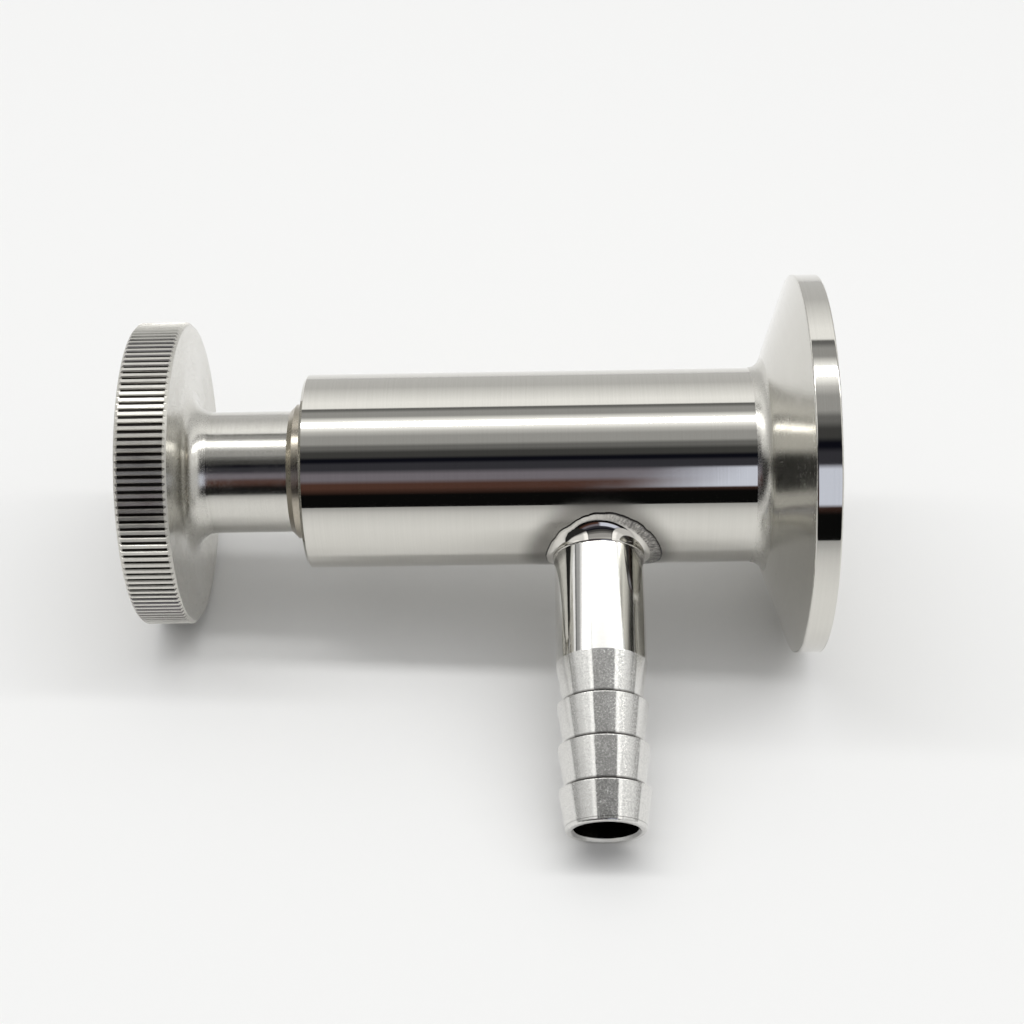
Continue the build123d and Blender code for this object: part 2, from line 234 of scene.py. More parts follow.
@dataclass(frozen=True)
class TurnedSteel:
    """316L stainless steel bar, turned on a lathe, then polished or left as the tool cut it.

    The eye gets crisp bands along the piece where it was polished, because the marks run round it and
    blur reflections only along it, and a soft silky grey where the tool's marks were left.
    """

    name: str
    turning: Turning
    zones: tuple[Zone, ...]
    rim_zone: Zone | None = None  # outside this radius, in mm, whatever the station
    # painted shade in the grooves and roots, if the piece has any
    painted_shade: PaintedShade | None = None
    haze: Haze | None = None
    colour: str = "#D1CFC8"
    dull_colour: str = "#C5C3BC"
    mark_pitch_mm: float = 0.22  # real feed marks are 0.05 to 0.1 mm apart, drawn coarser so that they show
    mark_length_mm: float = 14.0
    relief_um: float = 0.5
    anisotropy: float = 0.6
    grain_mm: float = 0.18
    grain: float = 0.10  # how far the grain changes the roughness, 0 to 1
    grain_relief: float = 0.0  # height of the grain, as a share of the finish's own
    speckle: float = 0.03  # how much darker the grain's pits are
    patch_mm: float = 6.25  # size of the patches that handling left
    patch_least: float = 0.8  # roughness in the brightest and the dullest of them, as a share
    patch_most: float = 1.25

    def material(self) -> bpy.types.Material:
        """Makes the node material.

        Returns:
            The material, ready for a slot.
        """
        made, tree = blank_material(self.name)
        on_valve = self.turning is Turning.VALVE
        place = place_mm(tree, 0.0 if on_valve else OUTLET_STATION)
        parts = add_node(tree, "SeparateXYZ", {0: place})
        along, side = ("X", "Z") if on_valve else ("Z", "X")
        station = add_node(tree, "Math", {0: parts.outputs[along], 1: -1.0}, operation="MULTIPLY")
        across = add_node(tree, "CombineXYZ", {0: parts.outputs["Y"], 1: parts.outputs[side]})
        radius = add_node(tree, "VectorMath", {0: across}, operation="LENGTH")
        zone = self.zone_values(tree, station, radius)
        marks = self.tool_marks(tree, station, radius, across)
        grain = add_node(tree, "TexNoise", {"Vector": place, "Scale": 1 / self.grain_mm, "Detail": 2.0})
        roughness = self.roughness_over(tree, place, zone, marks, grain)
        tone = self.tone_over(tree, zone, marks, grain)
        # Painted shade: darkens the colour in the grooves and roots, where shade falls
        if self.painted_shade is not None:
            shade_mask = self.painted_shade_share(tree, station, radius)
            feeds = {"Factor": shade_mask, "A": tone, "B": linear(self.painted_shade.colour)}
            tone = add_node(tree, "Mix", feeds, data_type="RGBA")
        relief = add_node(tree, "Math", {0: marks, 1: zone.outputs["Blue"]}, operation="MULTIPLY")
        height = add_node(tree, "Math", {0: grain, 1: self.grain_relief, 2: relief}, operation="MULTIPLY_ADD")
        if self.haze is not None:
            tone, roughness, height = self.hazed(tree, place, parts, (tone, roughness, height))
        feeds = {
            "Base Color": tone,
            "Metallic": 1.0,
            "Roughness": roughness,
            "Anisotropic": self.anisotropy,
            "Anisotropic Rotation": 0.25,  # a quarter turn, so that the blur runs along the piece
            "Tangent": add_node(tree, "Tangent", direction_type="RADIAL", axis=along),
        }
        add_surface(tree, height, self.relief_um, feeds)
        return made

    def roughness_over(self, tree: Tree, place: Node, zone: Node, marks: Node, grain: Node) -> Node:
        """Varies the zones' roughness with the tool marks, the grain and the patches from handling.

        Args:
            tree: the node tree.
            place: place on the piece, in mm.
            zone: roughness, streaks and relief of the zone.
            marks: height of the tool marks, 0 to 1.
            grain: height of the grain, 0 to 1.

        Returns:
            A node that gives the roughness.
        """
        feeds = {"Vector": place, "Scale": 1 / self.patch_mm, "Detail": 3.0, "Roughness": 0.6}
        patches = add_node(tree, "TexNoise", feeds)
        swing = add_node(tree, "Math", {0: marks, 1: -0.5})
        feeds = {0: swing, 1: zone.outputs["Green"], 2: 1.0}
        mark_share = add_node(tree, "Math", feeds, operation="MULTIPLY_ADD")
        grain_share = add_node(tree, "MapRange", {0: grain, 1: 0.2, 2: 0.8, 3: 1 - self.grain, 4: 1 + self.grain})
        patch_share = add_node(
            tree, "MapRange", {0: patches, 1: 0.3, 2: 0.7, 3: self.patch_least, 4: self.patch_most}
        )
        uneven = add_node(tree, "Math", {0: mark_share, 1: grain_share}, operation="MULTIPLY")
        rubbed = add_node(tree, "Math", {0: uneven, 1: patch_share}, operation="MULTIPLY")
        return add_node(tree, "Math", {0: zone.outputs["Red"], 1: rubbed}, operation="MULTIPLY")

    def tone_over(self, tree: Tree, zone: Node, marks: Node, grain: Node) -> Node:
        """Colours the clean metal.

        Args:
            tree: the node tree.
            zone: roughness, streaks and relief of the zone.
            marks: height of the tool marks, 0 to 1.
            grain: height of the grain, 0 to 1.

        Returns:
            A node that gives the colour.
        """
        feeds = {"Factor": marks, "A": linear(self.colour), "B": linear(self.dull_colour)}
        metal = add_node(tree, "Mix", feeds, data_type="RGBA")
        pits = add_node(tree, "MapRange", {0: grain, 1: 0.35, 2: 0.65, 3: 1 - self.speckle, 4: 1.0})
        feeds = {"Factor": zone.outputs["Blue"], "A": metal, "B": pits}
        return add_node(tree, "Mix", feeds, data_type="RGBA", blend_type="MULTIPLY")

    def hazed(
        self, tree: Tree, place: Node, parts: Node, clean: tuple[Node, Node, Node]
    ) -> tuple[Node, Node, Node]:
        """Dulls the skin round the weld.

        Args:
            tree: the node tree.
            place: place on the piece, in mm.
            parts: the same place as X, Y and Z.
            clean: colour, roughness and height away from the weld.

        Returns:
            Nodes that give colour, roughness and height everywhere.
        """
        haze = self.haze
        tone, roughness, height = clean
        sideways = add_node(tree, "Math", {0: parts.outputs["X"], 1: OUTLET_STATION})
        flat = add_node(tree, "CombineXYZ", {0: sideways, 1: parts.outputs["Y"]})
        reach = add_node(tree, "VectorMath", {0: flat}, operation="LENGTH")
        feeds = {0: reach, 1: haze.inner_mm, 2: haze.outer_mm, 3: 1.0, 4: 0.0}
        around = add_node(tree, "MapRange", feeds, interpolation_type="SMOOTHSTEP")
        low = add_node(tree, "MapRange", {0: parts.outputs["Z"], 1: -haze.top_mm, 2: -haze.bottom_mm})
        near = add_node(tree, "Math", {0: around, 1: low}, operation="MULTIPLY")
        stained = add_node(tree, "Math", {0: near, 1: haze.share}, operation="MULTIPLY")
        feeds = {"Factor": stained, "A": tone, "B": linear(haze.colour)}
        tone = add_node(tree, "Mix", feeds, data_type="RGBA")
        roughness = add_node(tree, "Math", {0: near, 1: haze.roughness, 2: roughness}, operation="MULTIPLY_ADD")
        ripples = add_node(tree, "TexNoise", {"Vector": place, "Scale": 1 / haze.ripple_mm, "Detail": 2.0})
        swell = add_node(tree, "Math", {0: ripples, 1: near}, operation="MULTIPLY")
        feeds = {0: swell, 1: haze.ripple_um / self.relief_um, 2: height}
        return tone, roughness, add_node(tree, "Math", feeds, operation="MULTIPLY_ADD")

    def painted_shade_share(self, tree: Tree, station: Node, radius: Node) -> Node:
        """Finds where the painted shade sits.

        Args:
            tree: the node tree.
            station: distance along the turning line, in mm.
            radius: distance from the turning line, in mm.

        Returns:
            A node that gives 1 where shade is painted and 0 elsewhere.
        """
        painted_shade = self.painted_shade
        middle, half = (painted_shade.start_mm + painted_shade.end_mm) / 2, (painted_shade.end_mm - painted_shade.start_mm) / 2
        within = add_node(tree, "Math", {0: station, 1: middle, 2: half}, operation="COMPARE")
        outside = add_node(tree, "Math", {0: radius, 1: painted_shade.inner_mm}, operation="GREATER_THAN")
        deep = add_node(
            tree, "MapRange", {0: radius, 1: painted_shade.outer_mm - painted_shade.soft_mm, 2: painted_shade.outer_mm, 3: 1.0, 4: 0.0}
        )
        both = add_node(tree, "Math", {0: within, 1: outside}, operation="MULTIPLY")
        return add_node(tree, "Math", {0: both, 1: deep}, operation="MULTIPLY")

    def zone_values(self, tree: Tree, station: Node, radius: Node) -> Node:
        """Reads the zones along the piece.

        Args:
            tree: the node tree.
            station: distance along the turning line, in mm.
            radius: distance from the turning line, in mm.

        Returns:
            A Separate Color node with roughness, streaks and relief as red, green and blue.
        """
        ends = [zone.start_mm for zone in self.zones]
        low, high = min(ends) - 1.0, max(ends) + 1.0
        share = add_node(tree, "MapRange", {0: station, 1: low, 2: high})
        ramp = add_node(tree, "ValToRGB", {0: share})
        stops = [
            ((zone.start_mm - low) / (high - low), (zone.roughness, zone.streaks, zone.relief, 1))
            for zone in self.zones
        ]
        set_stops(ramp.color_ramp, stops, "CONSTANT")
        if self.rim_zone is None:
            return add_node(tree, "SeparateColor", {0: ramp})
        rim = self.rim_zone
        outside = add_node(tree, "Math", {0: radius, 1: rim.start_mm}, operation="GREATER_THAN")
        feeds = {"Factor": outside, "A": ramp, "B": (rim.roughness, rim.streaks, rim.relief, 1)}
        picked = add_node(tree, "Mix", feeds, data_type="RGBA")
        return add_node(tree, "SeparateColor", {0: picked})

    def tool_marks(self, tree: Tree, station: Node, radius: Node, across: Node) -> Node:
        """Draws marks that run round the turning line, on cylinders, cones and faces alike.

        Args:
            tree: the node tree.
            station: distance along the turning line, in mm.
            radius: distance from the turning line, in mm.
            across: the place across the turning line, in mm.

        Returns:
            A node that gives the height of the marks, 0 to 1.
        """
        pitch = 1 / self.mark_pitch_mm
        spread = BARREL_RADIUS / self.mark_length_mm
        turn = add_node(tree, "VectorMath", {0: across}, operation="NORMALIZE")
        turn_parts = add_node(tree, "SeparateXYZ", {0: turn})
        step = add_node(tree, "Math", {0: station, 1: pitch}, operation="MULTIPLY")
        ring = add_node(tree, "Math", {0: radius, 1: pitch}, operation="MULTIPLY")
        first = add_node(tree, "Math", {0: turn_parts.outputs["X"], 1: spread}, operation="MULTIPLY")
        second = add_node(tree, "Math", {0: turn_parts.outputs["Y"], 1: spread}, operation="MULTIPLY")
        where = add_node(tree, "CombineXYZ", {0: step, 1: ring, 2: first})
        feeds = {"Vector": where, "W": second, "Scale": 1.0, "Detail": 3.0, "Roughness": 0.65}
        return add_node(tree, "TexNoise", feeds, noise_dimensions="4D")


@dataclass(frozen=True)
class GroundWeld:
    """TIG weld in 316L, dressed with a small flap wheel.

    The eye gets a paler, scratched steel with marks that fan out from the outlet, and a line of
    painted shade where the patch ends.
    """

    name: str = "tig_weld_ground_316l"
    colour: str = "#CFCCC5"
    streak_colour: str = "#706E6C"
    # colour of the painted shade at the patch's edge and the bead's foot
    painted_shade: str = "#1E1B19"
    bead_radius_mm: float = 6.75  # the patch is outside this, the bead inside
    bead: float = 0.05  # roughness of the bead, then of the patch on its left and its right
    smooth: float = 0.2
    coarse: float = 0.3
    coarse_from_mm: float = -1.0  # along the valve from the outlet's line
    coarse_all_mm: float = 4.0
    left_depth: float = 0.04  # depth of the scratches on the left, as a share
    scratch_turns: float = 60.0  # scratches in one turn round the outlet
    scratch_run: float = 0.6  # how fast they change outwards, per mm
    relief_um: float = 12.0

    def material(self) -> bpy.types.Material:
        """Makes the node material.

        Returns:
            The material, ready for a slot.
        """
        made, tree = blank_material(self.name)
        centred = place_mm(tree, OUTLET_STATION)
        parts = add_node(tree, "SeparateXYZ", {0: centred})
        flat = add_node(tree, "CombineXYZ", {0: parts.outputs["X"], 1: parts.outputs["Y"]})
        turn = add_node(tree, "VectorMath", {0: flat}, operation="NORMALIZE")
        reach = add_node(tree, "VectorMath", {0: flat}, operation="LENGTH")
        fan = add_node(tree, "VectorMath", {0: turn, "Scale": self.scratch_turns / math.tau}, operation="SCALE")
        slow = add_node(tree, "Math", {0: reach, 1: self.scratch_run}, operation="MULTIPLY")
        fan_parts = add_node(tree, "SeparateXYZ", {0: fan})
        where = add_node(tree, "CombineXYZ", {0: fan_parts.outputs[0], 1: fan_parts.outputs[1], 2: slow})
        scratches = add_node(tree, "TexNoise", {"Vector": where, "Scale": 3.0, "Detail": 4.0, "Roughness": 0.7})
        right_side = add_node(
            tree, "MapRange", {0: parts.outputs["X"], 1: self.coarse_from_mm, 2: self.coarse_all_mm}
        )
        patch = add_node(tree, "MapRange", {0: right_side, 3: self.smooth, 4: self.coarse})
        outer = add_node(tree, "MapRange", {0: reach, 1: self.bead_radius_mm - 0.1, 2: self.bead_radius_mm + 0.1})
        base = add_node(tree, "Mix", {"Factor": outer, "A": self.bead, "B": patch})
        swing = add_node(tree, "MapRange", {0: scratches, 1: 0.3, 2: 0.7, 3: 0.7, 4: 1.35})
        roughness = add_node(tree, "Math", {0: base, 1: swing}, operation="MULTIPLY")
        streaky = add_node(tree, "MapRange", {0: scratches, 1: 0.35, 2: 0.6, 3: 0.3, 4: 1.0})
        on_patch = add_node(tree, "Math", {0: outer, 1: right_side}, operation="MULTIPLY")
        scraped = add_node(tree, "Math", {0: streaky, 1: on_patch}, operation="MULTIPLY")
        feeds = {"Factor": scraped, "A": linear(self.colour), "B": linear(self.streak_colour)}
        metal = add_node(tree, "Mix", feeds, data_type="RGBA")
        # Painted shade: the point attribute edge darkens the patch's rim and the bead's foot on the land
        edge = add_node(tree, "Attribute", attribute_name="edge").outputs["Fac"]
        tone = add_node(tree, "Mix", {"Factor": edge, "A": metal, "B": linear(self.painted_shade)}, data_type="RGBA")
        depth = add_node(tree, "MapRange", {0: on_patch, 3: self.left_depth, 4: 1.0})
        relief = add_node(tree, "Math", {0: scratches, 1: depth}, operation="MULTIPLY")
        feeds = {"Base Color": tone, "Metallic": 1.0, "Roughness": roughness}
        add_surface(tree, relief, self.relief_um, feeds)
        return made


@dataclass(frozen=True)
class PlainStock:
    """Bronze, PTFE or rubber part made to size, seen only at the joints between the steel parts."""

    name: str
    colour: str
    worn_colour: str
    metallic: float
    roughness: float
    speck_mm: float
    relief_um: float

    def material(self) -> bpy.types.Material:
        """Makes the node material.

        Returns:
            The material, ready for a slot.
        """
        made, tree = blank_material(self.name)
        place = add_node(tree, "TexCoord").outputs["Object"]
        specks = add_node(tree, "TexNoise", {"Vector": place, "Scale": 1 / (self.speck_mm * MM), "Detail": 3.0})
        feeds = {"Factor": specks, "A": linear(self.colour), "B": linear(self.worn_colour)}
        tone = add_node(tree, "Mix", feeds, data_type="RGBA")
        feeds = {0: specks, 1: 0.3, 2: 0.7, 3: self.roughness * 0.8, 4: min(1.0, self.roughness * 1.25)}
        roughness = add_node(tree, "MapRange", feeds)
        feeds = {"Base Color": tone, "Metallic": self.metallic, "Roughness": roughness}
        add_surface(tree, specks, self.relief_um, feeds)
        return made


def softened(corners_mm: list[Triple]) -> list[Pair]:
    """Rounds the corners of a closed section, and holds each edge tight with a point on either side.

    Args:
        corners_mm: radius, depth and fillet of each corner.

    Returns:
        Radius and depth of every point, in mm.
    """
    points: list[Pair] = []
    count = len(corners_mm)
    for k, (radius, depth, fillet) in enumerate(corners_mm):
        here = Vector((radius, depth))
        before = (Vector(corners_mm[k - 1][:2]) - here).normalized()
        after = (Vector(corners_mm[(k + 1) % count][:2]) - here).normalized()
        reach = max(SHARP_MM, fillet / math.tan(before.angle(after) / 2)) if fillet else SHARP_MM
        start, end = here + before * reach, here + after * reach
        points.append(tuple(start + before * HOLD * reach))
        steps = 6 if fillet else 2
        for step in range(steps + 1):
            share = step / steps
            points.append(tuple(start * (1 - share) ** 2 + here * 2 * share * (1 - share) + end * share**2))
        points.append(tuple(end + after * HOLD * reach))
    return points


def skin_round(name: str, sections_mm: list[list[Pair]], closed: bool) -> bpy.types.Object:
    """Makes a skin round the outlet's line.

    Args:
        name: name of the new piece.
        sections_mm: radius and depth of each point, for every step of one turn.
        closed: whether the last point of a section joins the first.

    Returns:
        The new piece, linked to the scene and shaded smooth.
    """
    steps, rings = len(sections_mm), len(sections_mm[0])
    vertices: list[Triple] = []
    faces: list[tuple[int, int, int, int]] = []
    for turn, section in enumerate(sections_mm):
        angle = math.tau * turn / steps
        for radius, depth in section:
            x = -OUTLET_STATION + radius * math.cos(angle)
            vertices.append((x * MM, radius * math.sin(angle) * MM, -depth * MM))
        this, after = turn * rings, (turn + 1) % steps * rings
        for k in range(rings if closed else rings - 1):
            upper = (k + 1) % rings
            faces.append((this + k, this + upper, after + upper, after + k))
    mesh = bpy.data.meshes.new(name)
    mesh.from_pydata(vertices, [], faces)
    mesh.shade_smooth()
    return into_scene(name, mesh)


@dataclass
class SubAssembly:
    """Pieces of the valve that are dressed together."""

    title: str

    def wear(self, finish: TurnedSteel | GroundWeld | PlainStock, *nodes: str) -> None:
        """Gives CAD nodes their finish.

        Args:
            finish: the finish that makes their material.
            nodes: names of the CAD nodes.
        """
        material = bpy.data.materials.get(finish.name) or finish.material()
        for node in nodes:
            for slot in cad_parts[node].material_slots:
                slot.material = material
            LOG.info("%s: %s wears %s", self.title, node, finish.name)


@dataclass
class Ferrule(SubAssembly):
    """Clamp ferrule: face, thin polished rim, satin cone and polished fillet."""

    title: str = "ferrule"
    face_end_mm: float = 0.06
    rim_end_mm: float = 3.2
    cone_end_mm: float = 7.25
    fillet_end_mm: float = 9.05

    def build(self) -> None:
        """Dresses the ferrule."""
        zones = (
            Zone(-1.0, 0.16, 0.5, 0.6),
            Zone(self.face_end_mm, 0.05, 0.7, 0.7),
            Zone(self.rim_end_mm, 0.2, 0.4, 0.9),
            Zone(self.cone_end_mm, 0.3, 0.5, 1.0),
            Zone(self.fillet_end_mm, 0.05, 0.6, 0.35),
        )
        steel = TurnedSteel("ferrule_316l_turned_and_polished", Turning.VALVE, zones, grain=0.4)
        self.wear(steel, "clamp_ferrule")


@dataclass
class Barrel(SubAssembly):
    """Barrel, polished all over outside."""

    title: str = "barrel"

    def build(self) -> None:
        """Dresses the barrel."""
        zones = (Zone(0.0, 0.05, 0.6, 0.35),)
        haze = Haze(7.9, 11.0, 0.15, 4.0)
        self.wear(TurnedSteel("barrel_316l_polished", Turning.VALVE, zones, haze=haze), "barrel")


@dataclass
class HoseBarb(SubAssembly):
    """Outlet: a mirror-polished land, then barbs left as the tool cut them, with their edges broken."""

    title: str = "hose barb"
    spigot_radius_mm: float = 5.3
    root_radius_mm: float = 5.025
    bore_radius_mm: float = 4.0
    socket_depth_mm: float = 11.0
    barb_count: int = 4
    barb_pitch_mm: float = 5.64
    last_barb_mm: float = 5.04
    edge_break_mm: float = 0.1
    tip_round_mm: float = 0.3
    bore_chamfer_mm: float = 0.35
    steps_round: int = 192

    def outline(self) -> list[Triple]:
        """Lists the corners of the section.

        Returns:
            Radius, depth and fillet of each corner in mm, round the section once.
        """
        break_ = self.edge_break_mm
        points = [
            (self.bore_radius_mm, self.socket_depth_mm, 0.0),
            (self.spigot_radius_mm, self.socket_depth_mm, 0.0),
            (self.spigot_radius_mm, WELD_TOE_DEPTH, 0.0),
            (LAND_RADIUS, WELD_TOE_DEPTH, 0.5 * break_),
        ]
        for barb in range(self.barb_count):
            crest = LAND_END_DEPTH + barb * self.barb_pitch_mm
            if barb > 0:
                points.append((self.root_radius_mm, crest, 0.0))
            points.append((LAND_RADIUS, crest, break_))
        tip = LAND_END_DEPTH + self.barb_pitch_mm * (self.barb_count - 1) + self.last_barb_mm
        points.append((self.root_radius_mm, tip, self.tip_round_mm))
        points.append((self.bore_radius_mm + self.bore_chamfer_mm, tip, 0.04))
        points.append((self.bore_radius_mm, tip - self.bore_chamfer_mm, 0.04))
        return points

    def build(self) -> None:
        """Turns the barb and lets it stand for the CAD node."""
        finish = TurnedSteel(
            "barb_316l_land_polished",
            Turning.OUTLET,
            (Zone(0.0, 0.03, 0.3, 0.1), Zone(LAND_END_DEPTH - 0.02, 0.18, 0.5, 0.9)),
            colour="#E4E3DF",
            dull_colour="#D8D7D3",
            # Painted shade: the barbs' roots are darker, where the crests above shade them
            painted_shade=PaintedShade(LAND_END_DEPTH + 1.0, 50.0, 0.0, 5.13, 0.05, "#3A3734"),
            mark_pitch_mm=0.16,
            mark_length_mm=6.0,
            grain_mm=0.22,
            anisotropy=0.85,
            grain=0.5,
            grain_relief=2.3,
            speckle=0.22,
        )
        sections = [softened(self.outline())] * self.steps_round
        piece = skin_round("hose_barb_turned", sections, closed=True)
        piece.data.materials.append(finish.material())
        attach(piece, "valve_body")
        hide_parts("hose_barb")
        LOG.info("%s: %d faces", self.title, len(piece.data.polygons))


@dataclass
class OutletWeld(SubAssembly):
    """Weld round the outlet: a hollow bead up to the land, and a ground patch with a ragged edge.

    Each of the waves is a height in mm, the lumps in its run round the weld, and a seed.
    """

    title: str = "outlet weld"
    foot_radius_mm: float = 6.9
    patch_radius_mm: float = 7.72
    patch_shift_mm: float = 0.7
    patch_height_mm: float = 0.1
    sunk_mm: float = 0.08  # how far its edge goes into the barrel's skin
    lip_radius_mm: float = 5.93
    edge_waves: tuple[Triple, ...] = ((0.2, 5.0, 3.1), (0.07, 19.0, 5.2))
    foot_wave: Triple = (0.2, 2.0, 8.4)
    narrowest_mm: float = 0.35  # width of the painted shade line at the patch's edge
    edge_run_mm: float = 0.1  # width of the dark line
    dent_mm: float = 0.02
    bead_fill: float = 0.15  # 0 is a hollow bead, 1 a straight one
    steps_round: int = 240
    bead_steps: int = 12
    patch_steps: int = 5
    finish: GroundWeld = field(default_factory=GroundWeld)

    def barrel_depth(self, radius: float, angle: float) -> float:
        """Depth of the barrel's skin from the valve's line, under a place round the outlet, in mm."""
        return math.sqrt(BARREL_RADIUS**2 - (radius * math.sin(angle)) ** 2)

    def ragged(self, angle: float, height: float, lumps: float, seed: float) -> float:
        """Small change of size that runs smoothly round the weld, in mm."""
        return height * noise.noise(Vector((lumps * math.cos(angle), lumps * math.sin(angle), seed)))

    def section(self, angle: float) -> list[Triple]:
        """Outline of the weld at one place round the outlet.

        Args:
            angle: place round the outlet's line, in radians.

        Returns:
            Radius and depth in mm, and how much painted shade the point takes, 0 to 1, most at the patch's edge.
        """
        shift = self.patch_shift_mm
        reach = shift * math.cos(angle) + math.sqrt(self.patch_radius_mm**2 - (shift * math.sin(angle)) ** 2)
        reach += sum(self.ragged(angle, *wave) for wave in self.edge_waves) - self.sunk_mm
        foot = min(self.foot_radius_mm + self.ragged(angle, *self.foot_wave), reach - self.narrowest_mm)
        height = self.patch_height_mm
        # The third value of each point is painted shade: full on the patch's rim, 0.8 just inside it
        points = [
            (reach + 0.02, self.barrel_depth(reach, angle) - self.sunk_mm, 1.0),
            (reach, self.barrel_depth(reach, angle) + 0.6 * height, 1.0),
        ]
        for step in range(self.patch_steps + 1):
            share = step / self.patch_steps
            radius = (reach - self.edge_run_mm) + (foot - reach + self.edge_run_mm) * share
            dents = self.ragged(angle, self.dent_mm, radius, 1.7)
            edge = 0.8 if step == 0 else 0.0
            points.append((radius, self.barrel_depth(radius, angle) + height + dents, edge))
        start = (foot, self.barrel_depth(foot, angle) + height)
        end = (self.lip_radius_mm, WELD_TOE_DEPTH - 0.02)
        hollow = (self.lip_radius_mm, self.barrel_depth(self.lip_radius_mm, angle) + height)
        middle = [(start[k] + end[k]) / 2 for k in (0, 1)]
        corner = [hollow[k] + (middle[k] - hollow[k]) * self.bead_fill for k in (0, 1)]
        for step in range(1, self.bead_steps + 1):
            share = step / self.bead_steps
            radius, depth = (
                start[k] * (1 - share) ** 2 + 2 * corner[k] * share * (1 - share) + end[k] * share**2
                for k in (0, 1)
            )
            points.append((radius, depth, 0.0))
        # a little painted shade where the bead meets the land
        points.append((self.lip_radius_mm - 0.05, WELD_TOE_DEPTH, 0.3))
        points.append((LAND_RADIUS - 0.3, WELD_TOE_DEPTH, 0.0))
        return points

    def build(self) -> None:
        """Builds the weld as one skin, open only where it is sunk in the steel, to stand for the CAD node."""
        outlines = [self.section(math.tau * turn / self.steps_round) for turn in range(self.steps_round)]
        sections = [[(radius, depth) for radius, depth, _ in outline] for outline in outlines]
        piece = skin_round("outlet_weld_bead", sections, closed=False)
        piece.data.flip_normals()
        # The painted shade of each point goes to the weld's material as the attribute edge
        edges = [edge for outline in outlines for _, _, edge in outline]
        piece.data.attributes.new("edge", "FLOAT", "POINT").data.foreach_set("value", edges)
        piece.data.materials.append(self.finish.material())
        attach(piece, "valve_body")
        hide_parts("outlet_weld")
        LOG.info("%s: %d faces round the outlet", self.title, len(piece.data.polygons))


@dataclass
class Gland(SubAssembly):
    """Gland bush with its seals, at the open end of the barrel."""

    title: str = "gland"

    def build(self) -> None:
        """Dresses the bush, its static seal and the wiper."""
        steel = TurnedSteel(
            "bush_316l_turned",
            Turning.VALVE,
            (Zone(0.0, 0.3, 0.5, 0.8),),
            colour="#BDB6A8",
            dull_colour="#A8A193",
            speckle=0.2,
        )
        self.wear(steel, "gland_bush")
        self.wear(RUBBER, "gland_oring", "neck_wiper")


@dataclass
class Handwheel(SubAssembly):
    """Handwheel and neck from one bar, with the spindle that is pinned in it."""

    title: str = "handwheel"
    fillet_start_mm: float = 80.3
    wheel_face_mm: float = 83.25
    knurl_radius_mm: float = 19.76

    def build(self) -> None:
        """Dresses the wheel, the neck, the spindle and its pin."""
        steel = TurnedSteel(
            "handwheel_304_turned_and_knurled",
            Turning.VALVE,
            (
                Zone(0.0, 0.16, 0.7, 0.6),
                Zone(self.fillet_start_mm, 0.26, 0.5, 0.9),
                Zone(self.wheel_face_mm, 0.3, 0.4, 0.9),
                Zone(96.0, 0.3, 0.4, 0.9),  # past its end; the ramp's 256 steps share the whole length
            ),
            rim_zone=Zone(self.knurl_radius_mm, 0.42, 0.3, 0.3),
            # Painted shade: darker colour in the knurl's grooves
            painted_shade=PaintedShade(83.8, 89.45, 19.6, 20.09, 0.1, "#2C2927"),
            grain=0.3,
            grain_relief=1.5,
            speckle=0.12,
        )
        self.wear(steel, "handwheel")
        zones = (Zone(0.0, 0.2, 0.5, 0.8),)
        self.wear(TurnedSteel("spindle_316l_turned", Turning.VALVE, zones), "spindle", "spindle_pin")
        self.wear(BRONZE, "thrust_washer")


@dataclass
class Plunger(SubAssembly):
    """Plunger with its nose in the port, its seals and the pins of its swivel."""

    title: str = "plunger"

    def build(self) -> None:
        """Dresses the plunger's pieces."""
        zones = (Zone(0.0, 0.08, 0.5, 0.4),)
        self.wear(TurnedSteel("nose_316l_polished", Turning.VALVE, zones), "nose_cap")
        zones = (Zone(0.0, 0.16, 0.5, 0.6),)
        self.wear(TurnedSteel("plunger_316l_turned", Turning.VALVE, zones), "plunger", "swivel_pins")
        self.wear(PTFE, "seat_ring")
        self.wear(RUBBER, "plunger_oring_front", "plunger_oring_rear")


@dataclass
class Drive(SubAssembly):
    """Nut that the spindle screws through, and the washer in front of it."""

    title: str = "drive"

    def build(self) -> None:
        """Dresses the nut and the stop washer."""
        self.wear(BRONZE, "drive_nut")
        self.wear(PTFE, "stop_washer")


# Tin bronze, machined: a warm brown metal with a fine even grain
BRONZE = PlainStock("tin_bronze_machined", "#B98B4E", "#A87A42", 1.0, 0.3, 0.3, 1.0)
# PTFE, machined from rod: waxy white with no gloss
PTFE = PlainStock("ptfe_machined", "#E8E6E0", "#DEDBD3", 0.0, 0.45, 0.5, 1.5)
# EPDM rubber, moulded: a dull near-black with a little bloom
RUBBER = PlainStock("epdm_moulded", "#1C1C1D", "#262627", 0.0, 0.6, 0.2, 3.0)


@dataclass(frozen=True)
class RoomPart:
    """Part of the room that polished steel mirrors.

    The parts lie on the arc from the far wall over the top to the near side.
    """

    start: float  # degrees, 0 at the far horizon, 90 straight up and 180 at the near horizon
    end: float
    level: float  # radiance, 1 for a lit white wall
    tint: str = "#FFFFFF"


